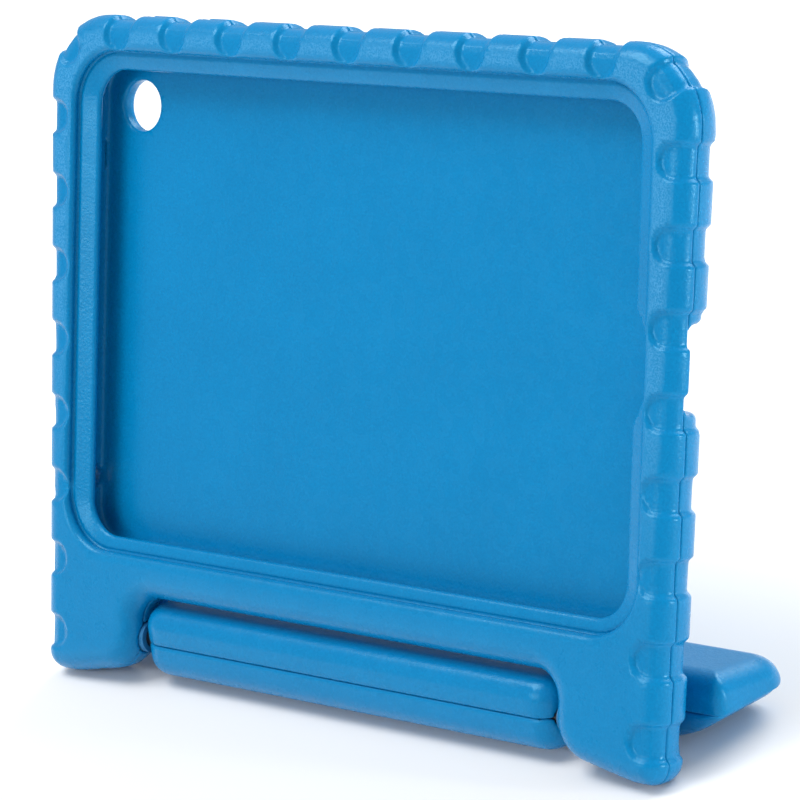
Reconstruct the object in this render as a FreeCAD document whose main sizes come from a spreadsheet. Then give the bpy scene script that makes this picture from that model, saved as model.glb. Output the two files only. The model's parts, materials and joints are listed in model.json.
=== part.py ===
import FreeCAD, Part
import math
import os
import Sketcher
from FreeCAD import Placement, Rotation, Vector

# Foam case with a swinging carry handle for a small tablet, stored as it stands on a table:
# the body leans back on its two feet and the handle, swung out behind, props it up.
#
# Everything on the body is drawn upright, about the middle of the screen window, with X to the
# right, Y to the back and Z up. Y = 0 is the joint plane where the two foam halves are bonded.
# The handle is drawn flat, about its hinge axis: X along the axis, Y out to the grip, Z up.

SIZES = {
    # body outline, from the middle of the window
    "body_width": 231.0,
    "side_taper": 4.0,
    "body_rise": 80.0,
    "notch_drop": 80.5,
    "foot_drop": 105.0,
    "front_depth": 6.0,
    "back_depth": 11.5,
    "corner_radius": 21.0,
    "foot_radius": 5.5,
    "foot_flat": 10.0,
    "foot_lift": 4.6,
    "foot_inner_radius": 11.0,
    "notch_width": 153.0,
    "notch_radius": 7.0,
    "front_rim": 5.8,
    "back_rim": 9.0,
    # moulded dents round the rim
    "dent_depth": 1.2,
    "dent_width": 8.8,
    "dent_reach": 9.0,
    "side_first": 51.2,
    "side_pitch": 20.7,
    "top_pitch": 21.6,
    # screen window and the pocket that holds the tablet
    "window_width": 193.7,
    "window_height": 129.9,
    "window_radius": 10.0,
    "lip_slope_width": 6.0,
    "lip_edge": 1.5,
    "bulge_radius": 20.0,
    "bulge_reach": 6.0,
    "tablet_width": 203.2,
    "tablet_height": 134.8,
    "tablet_thickness": 6.9,
    "tablet_radius": 10.0,
    "pocket_play": 0.3,
    # openings in the back half
    "camera_radius": 7.0,
    "camera_inset": 12.5,
    "jack_radius": 3.5,
    "jack_drop": 50.0,
    "recess_mouth": 22.6,
    "recess_throat": 21.0,
    # push pads over the tablet's buttons, and how far the hole's tool runs past the rim
    "pad_length": 9.0,
    "pad_width": 5.0,
    "pad_play": 0.35,
    "pad_flange": 1.4,
    "pad_flange_lip": 1.5,
    "pad_overrun": 3.0,
    # handle
    "hinge_depth": 3.0,
    "hinge_drop": 92.2,
    "hinge_gap": 1.2,
    "stand_angle": 12.6,
    "tongue_front": 6.0,
    "tongue_height": 20.0,
    "tongue_rim": 6.0,
    "tongue_corner": 8.0,
    "grip_start": 14.2,
    "grip_end": 45.5,
    "grip_width": 229.0,
    "grip_height_front": 21.6,
    "grip_height_rear": 14.0,
    "grip_rim": 6.0,
    "grip_corner": 10.0,
    "slot_width": 100.0,
    "slot_start": 10.5,
    "slot_end": 29.5,
    "slot_radius": 8.0,
    # hinge fittings
    "core_width": 11.6,
    "core_height": 10.0,
    "core_rear": 7.2,
    "core_edge": 1.25,
    "core_inset": 5.5,
    "core_pocket_width": 14.0,
    "core_pocket_length": 3.4,
    "core_pocket_depth": 3.0,
    "core_pocket_pitch": 18.0,
    "core_pocket_rear": 1.9,
    "pin_radius": 3.0,
    "pin_fit": 0.05,
    "pin_grip": 24.0,
    "pin_relief": 0.5,
    "pin_overrun": 4.0,
    "socket_radius": 5.5,
    "socket_inset": 3.0,
    "socket_length": 18.0,
    "fin_height": 20.0,
    "fin_thickness": 3.0,
    "fin_inset": 2.0,
    "ring_radius": 4.5,
    "ring_play": 0.2,
    "clip_radius": 5.0,
    "clip_thickness": 1.0,
    "clip_play": 0.4,
    "clip_mouth": 4.0,
    "groove_depth": 0.6,
    "clip_clearance": 1.6,
    "embed_gap": 0.05,
    # how far a cutting tool runs past the face it leaves by
    "overrun": 1.0,
}

SIDE_DENTS = 8
TOP_DENTS = 9
CORE_POCKETS = 5

doc = FreeCAD.newDocument("TabletCase")
sheet = doc.addObject("Spreadsheet::Sheet", "Sizes")
for row, (name, value) in enumerate(SIZES.items(), start=1):
    sheet.set("A%d" % row, name)
    sheet.set("B%d" % row, str(value))
    sheet.setAlias("B%d" % row, name)
doc.recompute()


def expand(expression):
    """Write a formula in plain size names as one that points at the sheet."""
    words = []
    for word in expression.replace("(", " ( ").replace(")", " ) ").split():
        words.append("Sizes." + word if word in SIZES else word)
    return " ".join(words)


def size(expression):
    """The present value of a formula in size names."""
    value = sheet.evalExpression(expand(expression))
    return float(getattr(value, "Value", value))


# ---------------------------------------------------------------- sketch and body helpers

def new_body(name):
    return doc.addObject("PartDesign::Body", name)


def new_sketch(body, name, role, offset=None):
    """A sketch on one of the body's origin planes, moved along its normal by a formula."""
    sketch = body.newObject("Sketcher::SketchObject", name)
    plane = [item for item in body.Origin.OriginFeatures if item.Role == role][0]
    sketch.AttachmentSupport = [(plane, "")]
    sketch.MapMode = "FlatFace"
    if offset is not None:
        sketch.setExpression("AttachmentOffset.Base.z", expand(offset))
    return sketch


def bind(sketch, kind, place, expression, label):
    """Add one dimension to a sketch and tie it to a formula."""
    sketch.addConstraint(Sketcher.Constraint(kind, *place, size(expression)))
    index = sketch.ConstraintCount - 1
    sketch.renameConstraint(index, label)
    sketch.setExpression("Constraints." + label, expand(expression))


def polygon(sketch, corners):
    """A closed outline whose corners stand at pairs of formulas from the sketch's origin."""
    first = sketch.GeometryCount
    count = len(corners)
    places = [Vector(size(across), size(up), 0) for across, up in corners]
    for index in range(count):
        line = Part.LineSegment(places[index], places[(index + 1) % count])
        sketch.addGeometry(line, False)
    for index in range(count):
        follower = first + (index + 1) % count
        sketch.addConstraint(Sketcher.Constraint("Coincident", first + index, 2, follower, 1))
    for index, (across, up) in enumerate(corners):
        place = (-1, 1, first + index, 1)
        bind(sketch, "DistanceX", place, across, "across_%d" % (first + index))
        bind(sketch, "DistanceY", place, up, "up_%d" % (first + index))


def rectangle(sketch, left, right, low, high):
    """Four sides at the given formulas from the sketch's origin."""
    polygon(sketch, [(left, low), (right, low), (right, high), (left, high)])


def circle(sketch, across, up, radius):
    first = sketch.GeometryCount
    centre = Vector(size(across), size(up), 0)
    sketch.addGeometry(Part.Circle(centre, Vector(0, 0, 1), size(radius)), False)
    tag = "_%d" % first
    bind(sketch, "DistanceX", (-1, 1, first, 3), across, "across" + tag)
    bind(sketch, "DistanceY", (-1, 1, first, 3), up, "up" + tag)
    bind(sketch, "Radius", (first,), radius, "radius" + tag)


def pad(body, sketch, name, length, reverse=False, midplane=False):
    feature = body.newObject("PartDesign::Pad", name)
    feature.Profile = sketch
    feature.setExpression("Length", expand(length))
    feature.Reversed = reverse
    feature.Midplane = midplane
    doc.recompute()
    return feature


def pocket(body, sketch, name, length, reverse=False, midplane=False):
    """Cut a sketch into the body, and make sure that the cut took material away."""
    before = body.Shape.Volume
    feature = body.newObject("PartDesign::Pocket", name)
    feature.Profile = sketch
    feature.setExpression("Length", expand(length))
    feature.Reversed = reverse
    feature.Midplane = midplane
    doc.recompute()
    if body.Shape.Volume >= before - 1e-6:
        raise RuntimeError("%s cuts nothing from %s" % (name, body.Name))
    return feature


def fillet(body, name, radius, chosen):
    """Round the edges of the body's tip that pass the test."""
    tip = body.Tip
    names = []
    for index, edge in enumerate(tip.Shape.Edges, start=1):
        if chosen(edge):
            names.append("Edge%d" % index)
    if not names:
        raise RuntimeError("%s finds no edge on %s" % (name, body.Name))
    feature = body.newObject("PartDesign::Fillet", name)
    feature.Base = (tip, names)
    feature.setExpression("Radius", expand(radius))
    doc.recompute()
    return feature


def ends(edge):
    return [vertex.Point for vertex in edge.Vertexes]


def along(axis):
    """A test for straight edges that run along one axis, 0, 1 or 2."""
    others = [index for index in range(3) if index != axis]

    def test(edge):
        points = ends(edge)
        if len(points) != 2:
            return False
        return all(abs(points[0][index] - points[1][index]) < 1e-4 for index in others)
    return test


def near(value, formula):
    return abs(value - size(formula)) < 1e-3


def cylinder(name, radius, height, base, rotation):
    """A bound Part cylinder; base is three formulas and rotation turns +Z to its axis."""
    item = doc.addObject("Part::Cylinder", name)
    item.setExpression("Radius", expand(radius))
    item.setExpression("Height", expand(height))
    item.Placement = Placement(Vector(0, 0, 0), rotation)
    for axis, formula in zip("xyz", base):
        item.setExpression("Placement.Base." + axis, expand(formula))
    return item


def box(name, dimensions, base):
    item = doc.addObject("Part::Box", name)
    for key, formula in zip(("Length", "Width", "Height"), dimensions):
        item.setExpression(key, expand(formula))
    for axis, formula in zip("xyz", base):
        item.setExpression("Placement.Base." + axis, expand(formula))
    return item


def cut(name, base, tools):
    """Base less every tool, as one Part::Cut."""
    tool = tools[0]
    if len(tools) > 1:
        tool = fuse(name + "_tools", tools)
    item = doc.addObject("Part::Cut", name)
    item.Base = base
    item.Tool = tool
    doc.recompute()
    if item.Shape.Volume >= base.Shape.Volume - 1e-6:
        raise RuntimeError("%s cuts nothing" % name)
    return item


def fuse(name, items):
    item = doc.addObject("Part::MultiFuse", name)
    item.Shapes = items
    doc.recompute()
    return item


TO_X = Rotation(Vector(0, 1, 0), 90)
TO_Y = Rotation(Vector(1, 0, 0), -90)

# ---------------------------------------------------------------- body halves

def body_blank(name, depth, rim, inset, to_back):
    """One half of the body outline, drawn in by inset on every outer face."""
    body = new_body(name)
    outer = "( body_width / 2 - %s )" % inset
    sole = "( %s - side_taper )" % outer
    inner = "( notch_width / 2 + %s )" % inset
    top = "( body_rise - %s )" % inset
    notch = "( %s - notch_drop )" % inset
    foot = "( %s - foot_drop )" % inset
    toe = "( %s + foot_lift )" % foot
    heel = "( body_width / 2 - side_taper - foot_flat )"
    right = [(inner, notch), (inner, toe), (heel, foot), (sole, foot), (outer, top)]
    left = [("0 - " + across, up) for across, up in reversed(right)]
    sketch = new_sketch(body, name + "_outline", "XZ_Plane")
    polygon(sketch, right + left)
    pad(body, sketch, name + "_pad", "%s - %s" % (depth, inset), reverse=to_back)
    lengthwise = along(1)

    def at(across, up):
        def test(edge):
            point = ends(edge)[0]
            return lengthwise(edge) and near(abs(point.x), across) and near(point.z, up)
        return test
    fillet(body, name + "_corners", "corner_radius - %s" % inset, at(outer, top))
    fillet(body, name + "_feet", "foot_radius - %s" % inset, at(sole, foot))
    fillet(body, name + "_toes", "foot_inner_radius - %s" % inset, at(inner, toe))
    fillet(body, name + "_notch_corners", "notch_radius + %s" % inset, at(inner, notch))
    side = 1 if to_back else -1
    level = side * size("%s - %s" % (depth, inset))
    fillet(body, name + "_rim", "%s - %s" % (rim, inset),
           lambda edge: all(abs(point.y - level) < 1e-3 for point in ends(edge)))
    return body


def side_at(level):
    """Half the body's width at a level, as a formula: the sides draw in towards the feet."""
    drop = "( body_rise - ( %s ) )" % level
    return "( body_width / 2 - side_taper * %s / ( body_rise + foot_drop ) )" % drop


SHEET = {name: size(name) for name in SIZES}


def dent_prism(centre, direction, depth):
    """A round-ended slot, seen from the front, that runs in from the rim at centre."""
    half = SHEET["dent_width"] / 2
    inward = Vector(-direction.x, 0, -direction.z)
    side = Vector(direction.z, 0, -direction.x)
    root = centre + inward * (SHEET["dent_reach"] - half)
    outer = centre + direction * SHEET["dent_reach"]
    points = [root + side * half, outer + side * half, outer - side * half, root - side * half]
    tip = root + inward * half
    edges = [
        Part.LineSegment(points[0], points[1]).toShape(),
        Part.LineSegment(points[1], points[2]).toShape(),
        Part.LineSegment(points[2], points[3]).toShape(),
        Part.Arc(points[3], tip, points[0]).toShape(),
    ]
    return Part.Face(Part.Wire(edges)).extrude(Vector(0, depth, 0))


def dent_places():
    """Middle and outward direction of each dent: down both sides, along the top, at the corners."""
    half = SHEET["body_width"] / 2
    rise = SHEET["body_rise"]
    places = []
    for index in range(SIDE_DENTS):
        formula = "side_first - side_pitch * %d" % index
        for hand in (-1, 1):
            rim = Vector(hand * size(side_at(formula)), 0, size(formula))
            places.append((rim, Vector(hand, 0, 0)))
    for index in range(TOP_DENTS):
        across = (index - (TOP_DENTS - 1) / 2) * SHEET["top_pitch"]
        places.append((Vector(across, 0, rise), Vector(0, 0, 1)))
    slant = math.sqrt(0.5)
    middle = SHEET["corner_radius"] * (1 - slant)
    for hand in (-1, 1):
        corner = Vector(hand * (half - middle), 0, rise - middle)
        places.append((corner, Vector(hand * slant, 0, slant)))
    return places


def dent_tool(name, depth):
    """All the dents of one half as one tool; depth is negative towards the front."""
    prisms = [dent_prism(centre, direction, depth) for centre, direction in dent_places()]
    tool = doc.addObject("Part::Feature", name)
    tool.Shape = Part.makeCompound(prisms)
    return tool


def dented_half(name, depth, rim, to_back):
    """A body half whose rim is cut back to a slightly smaller blank at every dent."""
    skin = body_blank(name + "_skin", depth, rim, "0", to_back)
    core = body_blank(name + "_core", depth, rim, "dent_depth", to_back)
    reach = size(depth) if to_back else -size(depth)
    lands = cut(name + "_lands", skin, [dent_tool(name + "_dents", reach)])
    return fuse(name + "_blank", [lands, core])


def window_tool():
    """The screen window with its bulge beside the home button, and the lip that slopes to it."""
    body = new_body("window_tool")
    length = "2 * front_depth + 2 * overrun"
    sketch = new_sketch(body, "window_outline", "XZ_Plane")
    rectangle(sketch, "0 - window_width / 2", "window_width / 2",
              "0 - window_height / 2", "window_height / 2")
    pad(body, sketch, "window_pad", length, midplane=True)
    fillet(body, "window_corners", "window_radius", along(1))
    sketch = new_sketch(body, "bulge_outline", "XZ_Plane")
    circle(sketch, "window_width / 2 + bulge_reach - bulge_radius", "0", "bulge_radius")
    pad(body, sketch, "bulge_pad", length, midplane=True)
    return body


def slope_tool():
    """A flared block: the window's outline at the lip's edge, wider at the front face."""
    narrow = (SHEET["window_width"] / 2, SHEET["window_height"] / 2, SHEET["window_radius"])
    spread = SHEET["lip_slope_width"]
    tool = doc.addObject("Part::Feature", "lip_slope_tool")
    rings = []
    for grow, level in ((0.0, -SHEET["lip_edge"]), (spread, -SHEET["front_depth"])):
        rings.append(rounded_ring(narrow[0] + grow, narrow[1] + grow, narrow[2] + grow, level))
    flare = Part.makeLoft(rings, True, True)
    slab = Part.Face(rings[-1]).extrude(Vector(0, -SHEET["overrun"], 0))
    tool.Shape = flare.fuse(slab)
    return tool


def rounded_ring(half_x, half_z, radius, level):
    """A rounded rectangle in the plane Y = level."""
    points = []
    for sx, sz in ((1, 1), (-1, 1), (-1, -1), (1, -1)):
        centre = Vector(sx * (half_x - radius), level, sz * (half_z - radius))
        flat_x = centre + Vector(sx * radius, 0, 0)
        flat_z = centre + Vector(0, 0, sz * radius)
        middle = centre + Vector(sx * radius, 0, sz * radius) * math.sqrt(0.5)
        points.append((flat_x, middle, flat_z) if sx == sz else (flat_z, middle, flat_x))
    edges = []
    for index, (start, middle, end) in enumerate(points):
        edges.append(Part.Arc(start, middle, end).toShape())
        edges.append(Part.LineSegment(end, points[(index + 1) % 4][0]).toShape())
    return Part.Wire(edges)


def from_notch(hand, start, length):
    """Where a piece begins along X so that it starts at start and runs length outwards."""
    if hand > 0:
        return start
    return "0 - ( %s ) - ( %s )" % (start, length)


def on_hinge(hand, name, radius, start, length):
    """A cylinder on the hinge axis of one foot."""
    return cylinder(name, radius, length,
                    (from_notch(hand, start, length), "hinge_depth", "0 - hinge_drop"), TO_X)


def fin_box(hand, name, gap):
    """The socket's upright fin, or with a gap all round the hollow for it."""
    length = "socket_length - 2 * fin_inset + 2 * %s" % gap
    start = "notch_width / 2 + socket_inset + fin_inset - %s" % gap
    return box(name, (length, "fin_thickness + 2 * %s" % gap, "fin_height + %s" % gap),
               (from_notch(hand, start, length),
                "hinge_depth - fin_thickness / 2 - %s" % gap, "0 - hinge_drop"))


def socket_room(hand, word):
    """The hollow in one foot for the hinge socket, its ring and the turning end of the pin."""
    mouth = on_hinge(hand, "ring_room_" + word, "ring_radius + embed_gap",
                     "notch_width / 2 - hinge_gap", "hinge_gap + socket_inset")
    barrel = on_hinge(hand, "socket_room_" + word, "socket_radius + embed_gap",
                      "notch_width / 2 + socket_inset - embed_gap",
                      "socket_length + embed_gap * 2")
    end = on_hinge(hand, "pin_room_" + word, "clip_radius + clip_clearance",
                   "notch_width / 2 + socket_inset + socket_length",
                   "pin_overrun + clip_clearance")
    return [mouth, barrel, end, fin_box(hand, "fin_room_" + word, "embed_gap")]


def front_shell(rooms):
    blank = dented_half("front", "front_depth", "front_rim", to_back=False)
    return cut("front_shell", blank, [window_tool(), slope_tool()] + rooms)


def pocket_tool():
    """The tablet's own shape with a little play, sunk into the back half."""
    body = new_body("pocket_tool")
    sketch = new_sketch(body, "pocket_outline", "XZ_Plane")
    rectangle(sketch, "0 - tablet_width / 2 - pocket_play", "tablet_width / 2 + pocket_play",
              "0 - tablet_height / 2 - pocket_play", "tablet_height / 2 + pocket_play")
    pad(body, sketch, "pocket_pad", "2 * tablet_thickness + 2 * pocket_play", midplane=True)
    fillet(body, "pocket_corners", "tablet_radius", along(1))
    return body


BUTTON_LEVEL = "tablet_thickness / 2"


def back_openings():
    """The camera hole through the back and the headphone hole through the left side."""
    camera = cylinder("camera_hole", "camera_radius", "back_depth * 2",
                      ("camera_inset - tablet_width / 2", "0",
                       "tablet_height / 2 - camera_inset"), TO_Y)
    jack = cylinder("jack_hole", "jack_radius", "body_width / 2 - tablet_width / 2 + 2 * overrun",
                    ("0 - body_width / 2 - overrun", BUTTON_LEVEL, "0 - jack_drop"), TO_X)
    return [camera, jack]


def recess_tool():
    """The gap in the right side of the back half that bares the charging port, flared outwards."""
    body = new_body("recess_tool")
    sketch = new_sketch(body, "recess_outline", "XZ_Plane")
    inner = "tablet_width / 2 - overrun"
    outer = "body_width / 2 + overrun"
    polygon(sketch, [(inner, "0 - recess_throat / 2"), (outer, "0 - recess_mouth / 2"),
                     (outer, "recess_mouth / 2"), (inner, "recess_throat / 2")])
    pad(body, sketch, "recess_pad", "back_depth + overrun", reverse=True)
    return body


def button_solid(name, place, play, room):
    """A push pad: a stem through the wall and a wider flange against the tablet's edge.

    place is (wall, level): wall is "top" or "left", level runs along that wall. play widens the
    solid all round, and room lengthens it at both ends, to cut the hole that the pad slides in.
    """
    wall, level = place
    outer = "body_rise" if wall == "top" else side_at(level)
    inner = ("tablet_height" if wall == "top" else "tablet_width") + " / 2 + pocket_play"
    flange = "%s + pad_flange" % inner
    flange_length = "pad_length + 2 * pad_flange_lip"
    if room:
        spans = {"stem": ("pad_length", inner, outer + " + pad_overrun"),
                 "flange": (flange_length, inner + " - overrun", flange + " + " + play)}
    else:
        spans = {"stem": ("pad_length", flange, outer), "flange": (flange_length, inner, flange)}
    items = []
    wide = "pad_width + 2 * %s" % play
    for key, (length, low, high) in spans.items():
        long = "%s + 2 * %s" % (length, play)
        tall = "%s - ( %s )" % (high, low)
        across = "%s - ( %s ) / 2" % (level, long)
        back = "%s - ( %s ) / 2" % (BUTTON_LEVEL, wide)
        if wall == "top":
            items.append(box(name + "_" + key, (long, wide, tall), (across, back, low)))
        else:
            items.append(box(name + "_" + key, (tall, wide, long),
                             ("0 - ( %s )" % high, back, across)))
    return fuse(name, items)


BUTTONS = {
    "volume_up_pad": ("top", "0 - 3.5 * top_pitch"),
    "volume_down_pad": ("top", "0 - 2.5 * top_pitch"),
    "power_pad": ("left", "side_first - side_pitch / 2"),
}


def back_shell(rooms):
    blank = dented_half("back", "back_depth", "back_rim", to_back=True)
    tools = [pocket_tool(), recess_tool()] + back_openings()
    for name, place in BUTTONS.items():
        tools.append(button_solid(name + "_hole", place, "pad_play", room=True))
    return cut("back_shell", blank, tools + rooms)


# ---------------------------------------------------------------- hinge fittings in the feet

def leg_socket(hand, name):
    """The moulded bearing in a foot: a barrel, a fin that keys it into the foam and the bore."""
    start = "notch_width / 2 + socket_inset"
    barrel = on_hinge(hand, name + "_barrel", "socket_radius", start, "socket_length")
    blank = fuse(name + "_blank", [barrel, fin_box(hand, name + "_fin", "0")])
    bore = on_hinge(hand, name + "_bore", "pin_radius + pin_fit", start + " - overrun",
                    "socket_length + 2 * overrun")
    return cut(name, blank, [bore])


def friction_ring(hand, name):
    """The rubber ring in a foot's mouth whose drag holds the handle where it is put."""
    start = "notch_width / 2 - hinge_gap + ring_play"
    length = "hinge_gap - ring_play + socket_inset"
    disc = on_hinge(hand, name + "_disc", "ring_radius", start, length)
    bore = on_hinge(hand, name + "_bore", "pin_radius + pin_fit", start + " - overrun",
                    length + " + 2 * overrun")
    return cut(name, disc, [bore])


# ---------------------------------------------------------------- handle, in its own frame

TONGUE_HALF = "( notch_width / 2 - hinge_gap )"
CORE_HALF = "( notch_width / 2 - hinge_gap - core_inset )"


def rounded_block(name, width, reach, corners, heights, rim, upward):
    """Half of a block cut at Z = 0, rounded in plan at corners and round its outer rim.

    reach is its front and rear Y, and heights is its full height at each of them.
    """
    body = new_body(name)
    sign = "" if upward else "0 - "
    sketch = new_sketch(body, name + "_profile", "YZ_Plane")
    polygon(sketch, [(reach[0], "0"), (reach[1], "0"), (reach[1], sign + heights[1] + " / 2"),
                     (reach[0], sign + heights[0] + " / 2")])
    pad(body, sketch, name + "_pad", width, midplane=True)
    upright = along(2)
    radius, chosen = corners
    fillet(body, name + "_corners", radius,
           lambda edge: upright(edge) and chosen(ends(edge)[0]))
    front, rear = size(reach[0]), size(reach[1])
    high, low = size(heights[0] + " / 2"), size(heights[1] + " / 2")

    def on_rim(point):
        level = high + (low - high) * (point.y - front) / (rear - front)
        return abs(abs(point.z) - level) < 1e-3

    fillet(body, name + "_rim", rim, lambda edge: all(on_rim(point) for point in ends(edge)))
    return body


def slot_tool(name):
    """The finger slot between the tongue and the grip."""
    body = new_body(name)
    sketch = new_sketch(body, name + "_outline", "XY_Plane")
    rectangle(sketch, "0 - slot_width / 2", "slot_width / 2", "slot_start", "slot_end")
    pad(body, sketch, name + "_pad", "tongue_height * 2", midplane=True)
    fillet(body, name + "_corners", "slot_radius", along(2))
    return body


def handle_half(name, upward):
    """One foam half of the handle: the wide grip and the thick tongue, less slot and core."""
    grip = rounded_block(name + "_grip", "grip_width", ("grip_start", "grip_end"),
                         ("grip_corner", lambda point: True),
                         ("grip_height_front", "grip_height_rear"), "grip_rim", upward)
    tongue = rounded_block(name + "_tongue", "2 * " + TONGUE_HALF,
                           ("0 - tongue_front", "grip_start + 2 * grip_rim"),
                           ("tongue_corner", lambda point: near(point.y, "0 - tongue_front")),
                           ("tongue_height", "tongue_height"), "tongue_rim", upward)
    core_room = box(name + "_core_room",
                    ("2 * ( %s + embed_gap )" % CORE_HALF, "core_width + 2 * embed_gap",
                     "core_height + 2 * embed_gap"),
                    ("0 - %s - embed_gap" % CORE_HALF, "core_rear - core_width - embed_gap",
                     "0 - core_height / 2 - embed_gap"))
    pin_way = cylinder(name + "_pin_way", "pin_radius + embed_gap", "notch_width",
                       ("0 - notch_width / 2", "0", "0"), TO_X)
    blank = fuse(name + "_blank", [grip, tongue])
    return cut(name, blank, [slot_tool(name + "_slot"), core_room, pin_way])


def handle_core():
    """The nylon bar inside the tongue that the two hinge pins are pressed into."""
    body = new_body("handle_core")
    sketch = new_sketch(body, "core_outline", "XY_Plane")
    rectangle(sketch, "0 - " + CORE_HALF, CORE_HALF, "core_rear - core_width", "core_rear")
    pad(body, sketch, "core_pad", "core_height", midplane=True)
    fillet(body, "core_edges", "core_edge", along(0))
    core_bores(body)
    sketch = new_sketch(body, "core_lightening", "XY_Plane", "core_height / 2")
    start = "0 - core_pocket_pitch * %d / 2 - core_pocket_width / 2" % (CORE_POCKETS - 1)
    rectangle(sketch, start, start + " + core_pocket_width",
              "core_rear - core_pocket_rear - core_pocket_length", "core_rear - core_pocket_rear")
    hollow = pocket(body, sketch, "core_hollow", "core_pocket_depth")
    row = body.newObject("PartDesign::LinearPattern", "core_hollows")
    row.Originals = [hollow]
    row.Direction = (sketch, ["H_Axis"])
    row.setExpression("Length", expand("core_pocket_pitch * %d" % (CORE_POCKETS - 1)))
    row.Occurrences = CORE_POCKETS
    body.Tip = row
    doc.recompute()
    return body


def core_bores(body):
    """Blind bores for the pins, from both ends of the core."""
    depth = "pin_grip + pin_relief"
    bottom = "( %s - ( %s ) )" % (TONGUE_HALF, depth)
    for word, start, reverse in (("right", bottom, True), ("left", "0 - " + bottom, False)):
        sketch = new_sketch(body, "core_bore_" + word, "YZ_Plane", start)
        circle(sketch, "0", "0", "pin_radius")
        pocket(body, sketch, "core_bore_cut_" + word, depth + " + overrun", reverse=reverse)


CLIP_START = "( notch_width / 2 + socket_inset + socket_length + clip_play )"


def hinge_pin(hand, name):
    """The steel pin: pressed into the core, turning in the foot, grooved for its clip."""
    inner = TONGUE_HALF + " - pin_grip"
    length = "pin_grip + hinge_gap + socket_inset + socket_length + pin_overrun"
    shaft = cylinder(name + "_shaft", "pin_radius", length,
                     (from_notch(hand, inner, length), "0", "0"), TO_X)
    groove = (from_notch(hand, CLIP_START, "clip_thickness"), "0", "0")
    ring = cylinder(name + "_ring", "pin_radius + overrun", "clip_thickness", groove, TO_X)
    neck = cylinder(name + "_neck", "pin_radius - groove_depth", "clip_thickness", groove, TO_X)
    return cut(name, shaft, [cut(name + "_groove", ring, [neck])])


def pin_clip(hand, name):
    """The open spring clip in the pin's groove, which stops the pin from drawing out."""
    start = from_notch(hand, CLIP_START, "clip_thickness")
    base = (start, "0", "0")
    disc = cylinder(name + "_disc", "clip_radius", "clip_thickness", base, TO_X)
    bore = cylinder(name + "_bore", "pin_radius - groove_depth", "clip_thickness", base, TO_X)
    mouth = box(name + "_mouth", ("clip_thickness", "clip_mouth", "clip_radius + overrun"),
                (start, "0 - clip_mouth / 2", "0 - clip_radius - overrun"))
    return cut(name, disc, [bore, mouth])


# ---------------------------------------------------------------- assembly

def table_angle():
    """How far the body leans back when its feet and the grip's rear edge share one table.

    The table touches two rounded edges: the rear lower rim of the feet and that of the grip.
    """
    rim = SHEET["back_rim"]
    foot = Vector(0, SHEET["back_depth"] - rim, rim - SHEET["foot_drop"])
    grip_rim = SHEET["grip_rim"]
    fall = (SHEET["grip_height_front"] - SHEET["grip_height_rear"]) / 2
    slant = math.atan2(fall, SHEET["grip_end"] - SHEET["grip_start"])
    middle = grip_rim * (1 / math.cos(slant) - math.tan(slant)) - SHEET["grip_height_rear"] / 2
    edge = Vector(0, SHEET["grip_end"] - grip_rim, middle)
    edge = HANDLE_REST.multVec(edge)
    run = edge.y - foot.y
    rise = edge.z - foot.z
    slope = math.atan2(rise, run) + math.asin((rim - grip_rim) / math.hypot(run, rise))
    return math.degrees(slope)


HANDLE_REST = Placement(Vector(0, SHEET["hinge_depth"], -SHEET["hinge_drop"]),
                        Rotation(Vector(1, 0, 0), SHEET["stand_angle"]))


def standing(body_items, handle_items):
    """Lean the case on its table, with the middle of its footprint over the origin."""
    lean = Placement(Vector(0, 0, 0), Rotation(Vector(1, 0, 0), -table_angle()))
    bounds = FreeCAD.BoundBox()
    for items, own in ((body_items, Placement()), (handle_items, HANDLE_REST)):
        for item in items:
            shape = item.Shape.copy()
            shape.Placement = lean.multiply(own).multiply(shape.Placement)
            bounds.add(shape.optimalBoundingBox(False, False))
    shift = Placement(Vector(-bounds.Center.x, -bounds.Center.y, -bounds.ZMin), Rotation())
    stand = shift.multiply(lean)
    for item in body_items:
        item.Placement = stand
    for item in handle_items:
        item.Placement = stand.multiply(HANDLE_REST)
    return stand


rooms = socket_room(-1, "left") + socket_room(1, "right")
body_nodes = [front_shell(rooms), back_shell(rooms)]
for button_name, button_place in BUTTONS.items():
    body_nodes.append(button_solid(button_name, button_place, "0", room=False))
handle_nodes = [handle_half("handle_top", True), handle_half("handle_bottom", False)]
handle_nodes.append(handle_core())
for hand, word in ((-1, "left"), (1, "right")):
    body_nodes.append(leg_socket(hand, "leg_socket_" + word))
    body_nodes.append(friction_ring(hand, "friction_ring_" + word))
    handle_nodes.append(hinge_pin(hand, "hinge_pin_" + word))
    handle_nodes.append(pin_clip(hand, "pin_clip_" + word))
doc.recompute()

stand = standing(body_nodes, handle_nodes)
doc.recompute()

for item in doc.Objects:
    if "Invalid" in item.State or "Error" in item.State:
        raise RuntimeError("%s failed: %s" % (item.Name, item.State))

os.makedirs("parts", exist_ok=True)
for item in body_nodes + handle_nodes:
    shape = item.Shape
    if shape.isNull() or not shape.isValid():
        raise RuntimeError("%s has no valid shape" % item.Name)
    item.Label = item.Name
    shape.exportStep(os.path.join("parts", item.Label + ".step"))
    print("%-24s %d solid, %9.1f mm3" % (item.Label, len(shape.Solids), shape.Volume))
print("lean %.3f deg, shift %s" % (table_angle(), stand.Base))
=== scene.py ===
import json
import math

import bpy
import numpy as np
import openvdb
from mathutils import Matrix, Vector


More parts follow.
